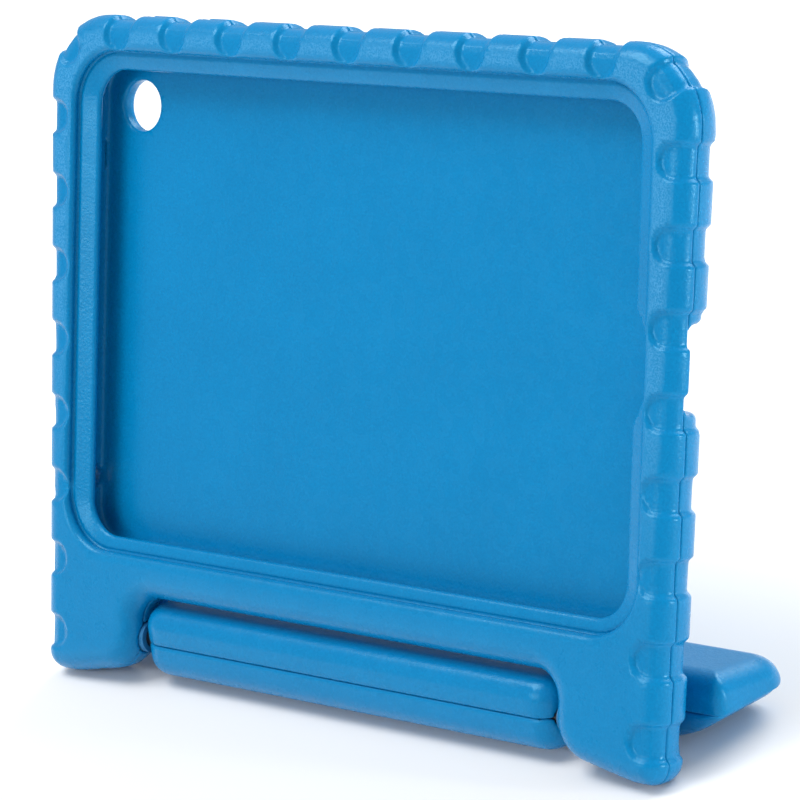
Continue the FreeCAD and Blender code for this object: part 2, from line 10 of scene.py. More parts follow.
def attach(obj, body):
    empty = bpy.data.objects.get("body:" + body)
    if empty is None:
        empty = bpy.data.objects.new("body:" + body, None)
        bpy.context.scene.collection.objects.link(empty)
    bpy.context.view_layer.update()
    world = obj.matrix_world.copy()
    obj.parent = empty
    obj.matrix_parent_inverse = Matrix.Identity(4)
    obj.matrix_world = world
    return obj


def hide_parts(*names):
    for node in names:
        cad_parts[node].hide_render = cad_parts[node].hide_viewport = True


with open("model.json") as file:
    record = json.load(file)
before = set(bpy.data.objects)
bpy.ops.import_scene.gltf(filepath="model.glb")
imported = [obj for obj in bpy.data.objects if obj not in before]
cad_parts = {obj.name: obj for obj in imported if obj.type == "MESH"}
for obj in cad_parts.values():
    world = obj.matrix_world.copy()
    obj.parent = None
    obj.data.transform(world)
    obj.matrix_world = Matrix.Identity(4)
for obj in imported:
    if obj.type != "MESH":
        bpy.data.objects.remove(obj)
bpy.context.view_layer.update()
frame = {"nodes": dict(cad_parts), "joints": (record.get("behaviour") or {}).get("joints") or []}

# Foam case for a small tablet, with a swinging carry handle folded back as a stand.
#
# The foam pieces are solids described by distance fields in millimetres. The body is drawn
# upright about the middle of its screen window: X right, Y back, Z up, with Y = 0 on the joint
# between its two foam halves. The handle is drawn flat about its hinge axis: X along the axis,
# Y out to the grip, Z up, with Z = 0 on the joint between its halves.

MM = 0.001

# ---------------------------------------------------------------- sizes, in millimetres

# the hinge axis, back from the body's joint and down from the middle of the window, and the
# handle's turn from square to the body as the case stands, in degrees
HINGE_DEPTH = 3.0
HINGE_DROP = 92.2
STAND_ANGLE = 12.6

# the body's outline, with rise and drop from the middle of the window
BODY_HALF_TOP = 115.5
BODY_HALF_SOLE = 111.5
BODY_RISE = 80.0
CORNER_RADIUS = 21.0
NOTCH_HALF = 76.5
NOTCH_DROP = 80.5
NOTCH_CORNER = 7.0
TOE_DROP = 100.4
TOE_CORNER = 11.0
FOOT_DROP = 105.0
SOLE_LENGTH = 10.0
SOLE_CORNER = 30.0
FOOT_CORNER = 5.5

# the section of the two halves; a draft is how far a wall leans in for each unit of depth
FRONT_DEPTH = 6.0
FRONT_RIM = 6.0
FRONT_DRAFT = 0.03
BACK_DEPTH = 11.5
BACK_RIM = 9.0
BACK_DRAFT = 0.05
SEAM_GAP = 0.01
SEAM_EDGE = 0.3

# the dents round the rim
DENT_DEPTH = 1.25
DENT_HALF = 4.5
DENT_REACH = 9.4
DENT_WALL = 0.8
SIDE_FIRST = 51.2
SIDE_PITCH = 20.7
SIDE_DENTS = 8
TOP_PITCH = 21.6
TOP_DENTS = 9

# window, crease and pocket: half width, half height and corner radius
WINDOW = (96.85, 64.95, 10.0)
CREASE = (102.85, 69.4, 15.0)
CREASE_RISE = 0.6
CREASE_EDGE = 2.2
POCKET = (101.9, 67.7, 10.0)
POCKET_DEPTH = 7.2
POCKET_FLOOR_EDGE = 1.5
POCKET_MOUTH_EDGE = 0.6

# the lip between window and crease, which slopes forward from the window
LIP_DEPTH = 1.5
LIP_SLOPE = 0.36
LIP_WIDTH = 7
LIP_INSET = 3.0
VALLEY_DEPTH = 1.4
VALLEY_RADIUS = 0.55
BULGE_CENTRE = 82.85
BULGE_RADIUS = 20.0
BULGE_EDGE = 0.7

# openings in the back half, and the shallow line that borders its rear face
CAMERA_HOLE = (-89.1, 54.9, 7.0)
CAMERA_EDGE = 1.0
GAP_LEVEL = -0.25
GAP_HALF = 11.05
GAP_INNER = 98.0
GAP_FILLET = 3.9
GAP_EDGE = 1.8
JACK_DROP = 50.0
JACK_RADIUS = 3.5
JACK_INSET = 2.0
JACK_EDGE = 0.8
BORDER_INSET = 17.0
BORDER_HALF = 0.8
BORDER_DEPTH = 0.45

# the push pads: stem and flange as half length, half width and corner radius
BUTTON_LEVEL = 3.45
BUTTON_STEM = (4.5, 2.5, 2.0)
BUTTON_FLANGE = (6.0, 2.5, 1.0)
BUTTON_FLANGE_HALF = 0.7
BUTTON_PROUD = 0.2
BUTTON_CROWN = 0.8
BUTTON_PLAY = 0.35
BUTTON_MOUTH_EDGE = 0.5
BUTTON_BLOCK = (7.0, 3.0, 1.0)

# room for the hinge in each foot, as (radius, middle, half length) out from the notch's side:
# the ring and pin at the mouth, the socket's barrel, and the clip at the pin's end
HINGE_ROOMS = ((4.55, 1.0, 2.2), (5.55, 12.0, 9.05), (6.6, 23.8, 2.8))
FIN_MIDDLE = 12.0
FIN_HALF_LENGTH = 7.05
FIN_HALF_THICKNESS = 1.55
FIN_RISE = 10.0
FIN_HALF_RISE = 10.05

# the handle, measured from the hinge axis; start is towards the body, end away from it
TONGUE_HALF = 75.8
TONGUE_FRONT = 6.0
TONGUE_HEIGHT = 20.0
TONGUE_OVERLAP = 12.0
TONGUE_CORNER = 8.0
TONGUE_EDGE = 6.0
TONGUE_FILLET = 1.0
GRIP_HALF = 114.5
GRIP_START = 14.2
GRIP_END = 45.5
GRIP_HEIGHT_START = 21.6
GRIP_HEIGHT_END = 14.0
GRIP_CORNER_START = 4.0
GRIP_CORNER_END = 10.0
GRIP_EDGE = 6.0
GRIP_DRAFT = 0.1
END_BEVEL = math.radians(30.0)
END_BEVEL_EDGE = 4.0
SLOT_HALF = 50.0
SLOT_START = 10.5
SLOT_END = 29.5
SLOT_CORNER = 8.0
SLOT_EDGE = 3.0
HANDLE_SEAM_EDGE = 0.1
GROOVE_DEPTH = 0.28
GROOVE_HALF = 0.55

# room inside the handle for the core and the pins
CORE_HALF = 69.8
CORE_MIDDLE = 1.4
CORE_HALF_DEPTH = 5.85
CORE_HALF_HEIGHT = 5.05
CORE_PLAY = 0.05
PIN_ROOM_RADIUS = 3.05

# the pale skin, a rougher grain whose paler colour is a painted sheen from the light above: how
# square a flat faces, and where on the front it lies and fades
FRONT_FLAT = (0.93, 0.995)
FRONT_FACE = (5.3, 5.8)
# the painted sheen on the front is strongest high up, under the light, and fades to its least share
# low down
FRONT_SHEEN_RISE = (-75.0, 20.0)
FRONT_MATT_SHEEN_LEAST = 0.1
HANDLE_FLAT = (0.93, 0.99)
# the handle's flats carry the same painted sheen, at a fixed share
HANDLE_MATT_SHEEN = 0.6

# grid steps of the distance fields, and how much flat areas of the mesh are thinned
FRONT_STEP = 0.5
BACK_STEP = 0.55
HANDLE_STEP = 0.55
PAD_STEP = 0.3
MESH_THINNING = 0.03

# ---------------------------------------------------------------- frames, read from the pack

joints = {joint["name"]: joint for joint in frame["joints"]}
pivot = joints["handle_swing"]["pos_m"]
down = joints["volume_up_press"]["axis"]
LEAN = math.atan2(-down[1], -down[2])

body_frame = (Matrix.Translation(pivot) @ Matrix.Rotation(-LEAN, 4, "X")
              @ Matrix.Translation((0, -HINGE_DEPTH * MM, HINGE_DROP * MM)))
handle_frame = (Matrix.Translation(pivot)
                @ Matrix.Rotation(math.radians(STAND_ANGLE) - LEAN, 4, "X"))

# ---------------------------------------------------------------- plane outlines


def rounded_outline(corners, arc_points=12):
    """A closed run of points round a polygon, each corner (across, up, radius) turned as an arc."""
    points = []
    count = len(corners)
    for index in range(count):
        before = np.array(corners[index - 1][:2])
        here = np.array(corners[index][:2])
        after = np.array(corners[(index + 1) % count][:2])
        radius = corners[index][2]
        back = (before - here) / np.linalg.norm(before - here)
        on = (after - here) / np.linalg.norm(after - here)
        half = math.acos(np.clip(back @ on, -1, 1)) / 2
        middle = (back + on) / np.linalg.norm(back + on)
        centre = here + middle * radius / math.sin(half)
        start = here + back * radius / math.tan(half)
        end = here + on * radius / math.tan(half)
        for share in np.linspace(0, 1, arc_points):
            ray = (start - centre) * (1 - share) + (end - centre) * share
            points.append(centre + ray / np.linalg.norm(ray) * radius)
    return np.array(points)


def outline_distance(outline, across, up):
    """Distance from each place to a closed outline, negative inside it."""
    nearest = np.full(across.shape, 1e9)
    inside = np.zeros(across.shape, bool)
    for start, end in zip(outline, np.roll(outline, -1, axis=0)):
        run = end - start
        length = run @ run
        if length < 1e-12:
            continue
        share = np.clip(((across - start[0]) * run[0] + (up - start[1]) * run[1]) / length, 0, 1)
        off_across = across - start[0] - share * run[0]
        off_up = up - start[1] - share * run[1]
        nearest = np.minimum(nearest, off_across ** 2 + off_up ** 2)
        spans = (start[1] > up) != (end[1] > up)
        if run[1] != 0:
            crossing = start[0] + (up - start[1]) * run[0] / run[1]
            inside ^= spans & (across < crossing)
    return np.where(inside, -1.0, 1.0) * np.sqrt(nearest)


def rectangle_distance(across, up, half_across, half_up, radius):
    """Distance to a rounded rectangle about the origin, negative inside it."""
    side = np.abs(across) - half_across + radius
    rise = np.abs(up) - half_up + radius
    outside = np.hypot(np.maximum(side, 0), np.maximum(rise, 0))
    return outside + np.minimum(np.maximum(side, rise), 0) - radius


def seam_groove(off):
    """The shallow moulding groove along the joint, by distance from the joint plane."""
    return GROOVE_DEPTH * np.exp(-(off / GROOVE_HALF) ** 2)


def smooth_step(value, low, high):
    """0 below low and 1 above high, with a smooth rise between them."""
    share = np.clip((value - low) / (high - low), 0, 1)
    return share * share * (3 - 2 * share)


# ---------------------------------------------------------------- solids as distance fields


def meet(first, second, radius):
    """What two solids share, with a rounded edge where their faces cross."""
    inner = np.minimum(-radius, np.maximum(first, second))
    return inner + np.hypot(np.maximum(radius + first, 0), np.maximum(radius + second, 0))


def join(first, second, radius):
    """Two solids together, with a filleted corner where their faces cross."""
    return -meet(-first, -second, radius)


def span(low, high, step):
    """Places along one axis, from below low to above high."""
    return np.arange(low - 2 * step, high + 2.5 * step, step)


def sample(field, places):
    """The field's value at places, given in grid steps, from the eight cells round each."""
    low = np.clip(np.floor(places).astype(int), 0, np.array(field.shape) - 2)
    share = places - low
    total = np.zeros(len(places))
    for corner in np.ndindex(2, 2, 2):
        weight = np.ones(len(places))
        for axis in range(3):
            weight *= share[:, axis] if corner[axis] else 1 - share[:, axis]
        total += weight * field[tuple((low + corner).T)]
    return total


def solid(name, field, axes, place, body, stands_for, material, thin=MESH_THINNING,
          matt_sheen=None):
    """The mesh of a field's zero level, put in the frame by place, as a foam piece.

    stands_for is the CAD node it replaces. The last function gives, for each point, how much of the
    rougher, grainy surface it has, and with it how much painted sheen: a paler colour for light
    glancing off the grain.
    """
    step = axes[0][1] - axes[0][0]
    origin = np.array([axis[0] for axis in axes])
    band = 3 * step
    grid = openvdb.FloatGrid()
    grid.background = band
    grid.copyFromArray(np.clip(field, -band, band).astype(np.float32))
    points, triangles, quads = grid.convertToPolygons(isovalue=0.0, adaptivity=thin)
    slopes = np.gradient(field.astype(np.float32))
    normals = np.stack([sample(slope, points.astype(float)) for slope in slopes], axis=1)
    normals /= np.maximum(np.linalg.norm(normals, axis=1, keepdims=True), 1e-9)
    turn = np.array(place)
    skin_sheen = np.zeros(len(points)) if matt_sheen is None else matt_sheen(origin + points * step, normals)
    points = ((origin + points * step) * MM) @ turn[:3, :3].T + turn[:3, 3]
    normals = normals @ turn[:3, :3].T
    mesh = bpy.data.meshes.new(name)
    mesh.from_pydata(points.tolist(), [], quads.tolist() + triangles.tolist())
    mesh.shade_smooth()
    mesh.normals_split_custom_set_from_vertices(normals.tolist())
    # each point's share of the rougher skin and of its painted sheen, read by the foam material
    mesh.attributes.new("matt_sheen_skin", "FLOAT", "POINT").data.foreach_set("value", skin_sheen)
    item = bpy.data.objects.new(name, mesh)
    bpy.context.scene.collection.objects.link(item)
    item.data.materials.append(material)
    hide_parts(stands_for)
    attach(item, body)


# ---------------------------------------------------------------- body outline and dents


def body_outline():
    """The body from the front: top corners, feet, and the notch between the feet."""
    right = [(NOTCH_HALF, -NOTCH_DROP, NOTCH_CORNER), (NOTCH_HALF, -TOE_DROP, TOE_CORNER),
             (BODY_HALF_SOLE - SOLE_LENGTH, -FOOT_DROP, SOLE_CORNER),
             (BODY_HALF_SOLE, -FOOT_DROP, FOOT_CORNER),
             (BODY_HALF_TOP, BODY_RISE, CORNER_RADIUS)]
    left = [(-across, up, radius) for across, up, radius in reversed(right)]
    return rounded_outline(right + left)


def half_width(level):
    """Half the body's width at a level: the sides draw in towards the feet."""
    share = (BODY_RISE - level) / (BODY_RISE + FOOT_DROP)
    return BODY_HALF_TOP + (BODY_HALF_SOLE - BODY_HALF_TOP) * share


def dent_places():
    """Where each dent meets the rim, and which way is out: both sides, the top, the corners."""
    places = []
    for index in range(SIDE_DENTS):
        level = SIDE_FIRST - index * SIDE_PITCH
        for hand in (-1, 1):
            places.append((hand * half_width(level), level, hand, 0.0))
    for index in range(TOP_DENTS):
        across = (index - (TOP_DENTS - 1) / 2) * TOP_PITCH
        places.append((across, BODY_RISE, 0.0, 1.0))
    slant = math.sqrt(0.5)
    inset = CORNER_RADIUS * (1 - slant)
    for hand in (-1, 1):
        places.append((hand * (BODY_HALF_TOP - inset), BODY_RISE - inset, hand * slant, slant))
    return places


def dent_cover(x, z):
    """1 on the floor of a dent, 0 on the land between two, with soft walls."""
    cover = np.zeros(x.shape)
    for rim_x, rim_z, out_x, out_z in dent_places():
        inward = -(x - rim_x) * out_x - (z - rim_z) * out_z
        aside = (x - rim_x) * out_z - (z - rim_z) * out_x
        beyond = np.maximum(inward - (DENT_REACH - DENT_HALF), 0)
        edge = np.hypot(aside, beyond) - DENT_HALF
        cover = np.maximum(cover, 1 - smooth_step(edge, -DENT_WALL, DENT_WALL))
    return cover


def hinge_room(x, y, z):
    """The hollow in the feet for the sockets, their fins, the rings and the pins' ends."""
    out = np.abs(x) - NOTCH_HALF
    from_axis = np.hypot(y - HINGE_DEPTH, z + HINGE_DROP)
    room = np.maximum(np.abs(y - HINGE_DEPTH) - FIN_HALF_THICKNESS,
                      np.abs(out - FIN_MIDDLE) - FIN_HALF_LENGTH)
    room = np.maximum(room, np.abs(z + HINGE_DROP - FIN_RISE) - FIN_HALF_RISE)
    for radius, middle, half in HINGE_ROOMS:
        room = np.minimum(room, np.maximum(from_axis - radius, np.abs(out - middle) - half))
    return room


def body_fields(low, high, step):
    """Shared plane fields of the body over a block of space from Y low to Y high."""
    x = span(-BODY_HALF_TOP, BODY_HALF_TOP, step)
    y = span(low, high, step)
    z = span(-FOOT_DROP, BODY_RISE, step)
    plane_x, plane_z = np.meshgrid(x, z, indexing="ij")
    return {
        "axes": (x, y, z),
        "x": plane_x[:, None, :],
        "y": y[None, :, None],
        "z": plane_z[:, None, :],
        "outline": outline_distance(body_outline(), plane_x, plane_z)[:, None, :],
        "dents": dent_cover(plane_x, plane_z)[:, None, :],
        "window": rectangle_distance(plane_x, plane_z, *WINDOW)[:, None, :],
    }


def front_matt_sheen(points, normals):
    """The rougher, grainy surface lies on the flat faces of the front; its paler colour is a
    painted sheen from the light above, so it shows most towards the top.
    """
    flat = smooth_step(-normals[:, 1], *FRONT_FLAT) * smooth_step(-points[:, 1], *FRONT_FACE)
    rise = smooth_step(points[:, 2], *FRONT_SHEEN_RISE)
    return flat * (FRONT_MATT_SHEEN_LEAST + (1 - FRONT_MATT_SHEEN_LEAST) * rise)


def handle_matt_sheen(points, normals):
    """The rougher, grainy surface on the flat upper and lower faces of the handle, with the same
    painted sheen, a paler colour.
    """
    return HANDLE_MATT_SHEEN * smooth_step(np.abs(normals[:, 2]), *HANDLE_FLAT)


def front_shell(material):
    """The front foam half: frame, crease, sloped lip and window with its bulge."""
    f = body_fields(-FRONT_DEPTH, 0.0, FRONT_STEP)
    x, y, z = f["x"], f["y"], f["z"]
    side = f["outline"] + FRONT_DRAFT * np.abs(y)
    frame_part = meet(side, -FRONT_DEPTH - y, FRONT_RIM) + DENT_DEPTH * f["dents"]
    crease = rectangle_distance(x, z - CREASE_RISE, *CREASE)
    frame_part = meet(frame_part, -crease, CREASE_EDGE)
    slope = LIP_SLOPE * np.clip(f["window"], 0, LIP_WIDTH)
    lip = np.maximum(side + LIP_INSET, -(LIP_DEPTH + slope) - y)
    shell = np.minimum(frame_part, lip)
    valley = np.hypot(crease, y + VALLEY_DEPTH + slope) - VALLEY_RADIUS
    shell = np.maximum(shell, -valley)
    bulge = np.hypot(x - BULGE_CENTRE, z) - BULGE_RADIUS
    shell = meet(shell, -np.minimum(f["window"], bulge), BULGE_EDGE)
    shell = meet(shell, y + SEAM_GAP, SEAM_EDGE)
    shell = np.maximum(shell, -hinge_room(x, y, z))
    solid("front_foam", shell, f["axes"], body_frame, "case", "front_shell", material,
          matt_sheen=front_matt_sheen)


def charging_gap(x, y, z):
    """The gap round the charging port: a trough down to the joint, with filleted ends."""
    trough = meet(np.abs(z - GAP_LEVEL) - GAP_HALF, -y, GAP_FILLET)
    return np.maximum(trough, GAP_INNER - x)


# where the pads are: (across, None) in the top wall, (None, level) in the left wall
BUTTONS = {
    "volume_up": (-3.5 * TOP_PITCH, None),
    "volume_down": (-2.5 * TOP_PITCH, None),
    "power": (None, SIDE_FIRST - SIDE_PITCH / 2),
}


def button_ways(name, x, z):
    """Distance along the wall from a pad's middle, and inward past the pocket's wall."""
    across, level = BUTTONS[name]
    if level is None:
        return x - across, POCKET[1] - z
    return z - level, POCKET[0] + x


def button_column(name, x, y, z, grow):
    """A pad's rounded stem, as a column through the wall, grown by a clearance."""
    long_way, inward = button_ways(name, x, z)
    stem = (size + grow for size in BUTTON_STEM)
    return np.maximum(rectangle_distance(long_way, y - BUTTON_LEVEL, *stem), inward)


def back_side(outline, y):
    """The outer form of the back half before its dents."""
    return meet(outline + BACK_DRAFT * y, y - BACK_DEPTH, BACK_RIM)


def back_shell(material):
    """The back foam half: pocket, camera hole, charging gap, headphone hole and pad holes."""
    f = body_fields(0.0, BACK_DEPTH, BACK_STEP)
    x, y, z = f["x"], f["y"], f["z"]
    shell = back_side(f["outline"], y) + DENT_DEPTH * f["dents"]
    border = np.exp(-((f["outline"] + BORDER_INSET) / BORDER_HALF) ** 2) * (y > BACK_DEPTH / 2)
    shell = shell + BORDER_DEPTH * border
    pocket = rectangle_distance(x, z, *POCKET)
    pocket = meet(pocket, y - POCKET_DEPTH, POCKET_FLOOR_EDGE)
    shell = meet(shell, -pocket, POCKET_MOUTH_EDGE)
    camera = np.hypot(x - CAMERA_HOLE[0], z - CAMERA_HOLE[1]) - CAMERA_HOLE[2]
    shell = meet(shell, -camera, CAMERA_EDGE)
    shell = meet(shell, -charging_gap(x, y, z), GAP_EDGE)
    jack = np.hypot(y - BUTTON_LEVEL, z + JACK_DROP) - JACK_RADIUS
    jack = np.maximum(jack, x + POCKET[0] - JACK_INSET)
    shell = meet(shell, -jack, JACK_EDGE)
    for name in BUTTONS:
        shell = meet(shell, -button_column(name, x, y, z, BUTTON_PLAY), BUTTON_MOUTH_EDGE)
    shell = meet(shell, SEAM_GAP - y, SEAM_EDGE)
    shell = np.maximum(shell, -hinge_room(x, y, z))
    solid("back_foam", shell, f["axes"], body_frame, "case", "back_shell", material)


def button_pad(name, material):
    """A push pad whose crowned top follows the land that it sits in."""
    across, level = BUTTONS[name]
    half_long, half_deep, above = BUTTON_BLOCK
    if level is None:
        x = span(across - half_long, across + half_long, PAD_STEP)
        z = span(POCKET[1], BODY_RISE + above, PAD_STEP)
    else:
        x = span(-half_width(level) - above, -POCKET[0], PAD_STEP)
        z = span(level - half_long, level + half_long, PAD_STEP)
    y = span(BUTTON_LEVEL - half_deep, BUTTON_LEVEL + half_deep, PAD_STEP)
    plane_x, plane_z = np.meshgrid(x, z, indexing="ij")
    outline = outline_distance(body_outline(), plane_x, plane_z)[:, None, :]
    px, py, pz = plane_x[:, None, :], y[None, :, None], plane_z[:, None, :]
    pad = meet(button_column(name, px, py, pz, 0.0), back_side(outline, py) - BUTTON_PROUD,
               BUTTON_CROWN)
    long_way, inward = button_ways(name, px, pz)
    flange = rectangle_distance(long_way, py - BUTTON_LEVEL, *BUTTON_FLANGE)
    flange = np.maximum(flange, np.abs(inward + BUTTON_FLANGE_HALF) - BUTTON_FLANGE_HALF)
    solid(name + "_button", np.minimum(pad, flange), (x, y, z), body_frame, name, name + "_pad",
          material, thin=0.0)


# ---------------------------------------------------------------- handle


def grip_field(upward, x, y, z, plane):
    """The grip: thinner towards its far edge, with slanted ends on the lower half."""
    along = (y - GRIP_START) / (GRIP_END - GRIP_START)
    height = GRIP_HEIGHT_START + (GRIP_HEIGHT_END - GRIP_HEIGHT_START) * along
    grip = meet(plane + GRIP_DRAFT * z, z - height / 2, GRIP_EDGE)
    if not upward:
        bevel = (np.abs(x) - GRIP_HALF) * math.sin(END_BEVEL) + z * math.cos(END_BEVEL)
        grip = meet(grip, bevel, END_BEVEL_EDGE)
    return grip


def core_room(x, y, z):
    """The room in the tongue for the nylon core, and for the pins along the axis."""
    core = np.maximum(np.abs(y - CORE_MIDDLE) - CORE_HALF_DEPTH, z - CORE_HALF_HEIGHT)
    core = np.maximum(core, np.abs(x) - CORE_HALF - CORE_PLAY)
    return np.minimum(core, np.hypot(y, z) - PIN_ROOM_RADIUS)


def handle_half(name, upward, material):
    """One foam half of the handle: the wide grip and the thick tongue, less slot and core."""
    x = span(-GRIP_HALF, GRIP_HALF, HANDLE_STEP)
    y = span(-TONGUE_FRONT, GRIP_END, HANDLE_STEP)
    z = span(0.0, TONGUE_HEIGHT / 2, HANDLE_STEP)
    plane_x, plane_y = np.meshgrid(x, y, indexing="ij")
    corners = [(-GRIP_HALF, GRIP_START, GRIP_CORNER_START),
               (GRIP_HALF, GRIP_START, GRIP_CORNER_START),
               (GRIP_HALF, GRIP_END, GRIP_CORNER_END), (-GRIP_HALF, GRIP_END, GRIP_CORNER_END)]
    grip = outline_distance(rounded_outline(corners), plane_x, plane_y)
    back = GRIP_START + TONGUE_OVERLAP
    middle = (back - TONGUE_FRONT) / 2
    tongue = rectangle_distance(plane_x, plane_y - middle, TONGUE_HALF, back - middle,
                                TONGUE_CORNER)
    middle = (SLOT_START + SLOT_END) / 2
    slot = rectangle_distance(plane_x, plane_y - middle, SLOT_HALF, SLOT_END - middle, SLOT_CORNER)
    px, py, pz = plane_x[:, :, None], plane_y[:, :, None], z[None, None, :]
    grip = grip_field(upward, px, py, pz, grip[:, :, None])
    tongue = meet(tongue[:, :, None], pz - TONGUE_HEIGHT / 2, TONGUE_EDGE)
    half = join(grip, tongue, TONGUE_FILLET) + seam_groove(pz)
    half = meet(half, -slot[:, :, None], SLOT_EDGE)
    half = np.maximum(half, -core_room(px, py, pz))
    half = meet(half, SEAM_GAP - pz, HANDLE_SEAM_EDGE)
    if not upward:
        half = half[:, :, ::-1]
        z = -z[::-1]
    solid(name + "_foam", half, (x, y, z), handle_frame, "handle", name, material,
          matt_sheen=handle_matt_sheen)


# ---------------------------------------------------------------- materials


# linear colours: pairs are the two ends of a mottled look
FOAM = (0.0, 0.19, 0.44)
FOAM_CLOUDS = ((0.0, 0.184, 0.425), (0.0, 0.204, 0.465))
FOAM_GRAINS = ((0.0, 0.165, 0.40), (0.0, 0.23, 0.515))
# the skin's speckle colours; the paler end is a painted sheen, not a colour of the foam
FOAM_SKIN_SHEENS = ((0.01, 0.20, 0.44), (0.09, 0.35, 0.64))
FOAM_RUBBED = (0.0, 0.25, 0.55, 1.0)
NYLON = (0.0, 0.10, 0.24)
RING_RUBBER = (0.0, 0.11, 0.26)
STEEL = (0.12, 0.12, 0.13)
STEEL_STAINS = ((0.04, 0.045, 0.05), (0.08, 0.085, 0.095))
PAPER = (0.9, 0.9, 0.9)
PAPERS = ((0.88, 0.88, 0.88), (0.92, 0.92, 0.92))


def grey(value):
    return (value, value, value)


def new_material(name, colour, roughness, metallic=0.0):
    """A principled material, with its node tree and its shader node."""
    material = bpy.data.materials.new(name)
    material.use_nodes = True
    shader = material.node_tree.nodes["Principled BSDF"]
    shader.inputs["Base Color"].default_value = (*colour, 1.0)
    shader.inputs["Roughness"].default_value = roughness
    shader.inputs["Metallic"].default_value = metallic
    return material, material.node_tree, shader


def node(tree, kind, **settings):
    """A new shader node, each setting given to its input or else to the node itself."""
    item = tree.nodes.new(kind)
    for key, value in settings.items():
        if key in item.inputs:
            item.inputs[key].default_value = value
        else:
            setattr(item, key, value)
    return item


def noise(tree, where, scale, detail=2.0):
    """Noise in the object's own coordinates, in metres."""
    item = node(tree, "ShaderNodeTexNoise", Scale=scale, Detail=detail, Roughness=0.5)
    tree.links.new(where.outputs["Object"], item.inputs["Vector"])
    return item.outputs["Fac"]


def ramp(tree, value, ends, colours):
    """A colour between two, as the value goes from one end to the other."""
    item = tree.nodes.new("ShaderNodeValToRGB")
    for element, place, colour in zip(item.color_ramp.elements, ends, colours):
        element.position = place
        element.color = (*colour, 1.0)
    tree.links.new(value, item.inputs["Fac"])
    return item.outputs["Color"]


def mix(tree, share, first, second):
    """Two colours mixed by a share, each given as a value or as a node's output."""
    item = tree.nodes.new("ShaderNodeMix")
    item.data_type = "RGBA"
    for socket, value in ((item.inputs[0], share), (item.inputs[6], first),
                          (item.inputs[7], second)):
        if isinstance(value, (float, tuple)):
            socket.default_value = value
        else:
            tree.links.new(value, socket)
    return item.outputs[2]


def bump(tree, height, strength, distance, below=None):
    """A normal from a height, laid over an earlier normal if there is one."""
    item = node(tree, "ShaderNodeBump", Strength=strength, Distance=distance)
    tree.links.new(height, item.inputs["Height"])
    if below is not None:
        tree.links.new(below, item.inputs["Normal"])
    return item.outputs["Normal"]


def foam_material():
    """Moulded closed-cell foam: smooth rims, a rougher grainy surface on the flats painted paler as
    a sheen, fine grain.
    """
    material, tree, shader = new_material("foam_blue", FOAM, 0.4)
    where = tree.nodes.new("ShaderNodeTexCoord")
    skin_sheen = node(tree, "ShaderNodeAttribute", attribute_name="matt_sheen_skin").outputs["Fac"]
    cloud = noise(tree, where, 35.0, 3.0)
    base = ramp(tree, cloud, (0.3, 0.7), FOAM_CLOUDS)
    grain = noise(tree, where, 1700.0, 1.0)
    specks = ramp(tree, grain, (0.35, 0.65), FOAM_GRAINS)
    colour = mix(tree, 0.35, base, specks)
    # paler speckle on the flats: a painted sheen from the light, mixed in by the skin share
    pale_sheen_grain = ramp(tree, noise(tree, where, 2300.0, 1.0), (0.36, 0.66), FOAM_SKIN_SHEENS)
    share = node(tree, "ShaderNodeMath", operation="MULTIPLY")
    share.inputs[1].default_value = 0.55
    tree.links.new(skin_sheen, share.inputs[0])
    colour = mix(tree, share.outputs[0], colour, pale_sheen_grain)
    edges = tree.nodes.new("ShaderNodeNewGeometry").outputs["Pointiness"]
    rubbed = ramp(tree, edges, (0.52, 0.62), (grey(0.0), grey(0.35)))
    colour = mix(tree, rubbed, colour, FOAM_RUBBED)
    tree.links.new(colour, shader.inputs["Base Color"])
    rough = ramp(tree, noise(tree, where, 260.0), (0.3, 0.7), (grey(0.22), grey(0.32)))
    tree.links.new(mix(tree, skin_sheen, rough, (*grey(0.6), 1.0)), shader.inputs["Roughness"])
    pebble = node(tree, "ShaderNodeTexVoronoi", Scale=1100.0)
    tree.links.new(where.outputs["Object"], pebble.inputs["Vector"])
    fine = bump(tree, grain, 0.3, 0.00010)
    rounded = bump(tree, pebble.outputs["Distance"], 0.25, 0.00012, fine)
    tree.links.new(rounded, shader.inputs["Normal"])
    shader.inputs["Specular IOR Level"].default_value = 0.38
    shader.inputs["Specular Tint"].default_value = (0.4, 0.85, 1.0, 1.0)
    return material


def plastic_material(name, colour, scale):
    """Moulded nylon or rubber: fine texture and slight mottling."""
    material, tree, shader = new_material(name, colour, 0.5)
    where = tree.nodes.new("ShaderNodeTexCoord")
    mottle = noise(tree, where, 120.0, 3.0)
    darker = tuple(value * 0.7 for value in colour)
    lighter = tuple(min(1.0, value * 1.4 + 0.01) for value in colour)
    tree.links.new(ramp(tree, mottle, (0.3, 0.7), (darker, lighter)), shader.inputs["Base Color"])
    rough = ramp(tree, noise(tree, where, 500.0), (0.3, 0.7), (grey(0.4), grey(0.65)))
    tree.links.new(rough, shader.inputs["Roughness"])
    tree.links.new(bump(tree, noise(tree, where, scale), 0.3, 0.0001), shader.inputs["Normal"])
    return material


def steel_material():
    """Turned, blackened steel: rings round the pin and faint staining."""
    material, tree, shader = new_material("steel_pin", STEEL, 0.35, 1.0)
    where = tree.nodes.new("ShaderNodeTexCoord")
    stain = noise(tree, where, 200.0, 3.0)
    tree.links.new(ramp(tree, stain, (0.3, 0.7), STEEL_STAINS), shader.inputs["Base Color"])
    turned = node(tree, "ShaderNodeTexWave", Scale=900.0, Distortion=0.6, bands_direction="X")
    tree.links.new(where.outputs["Object"], turned.inputs["Vector"])
    rough = ramp(tree, turned.outputs["Fac"], (0.0, 1.0), (grey(0.22), grey(0.4)))
    tree.links.new(rough, shader.inputs["Roughness"])
    tree.links.new(bump(tree, turned.outputs["Fac"], 0.2, 0.00003), shader.inputs["Normal"])
    return material


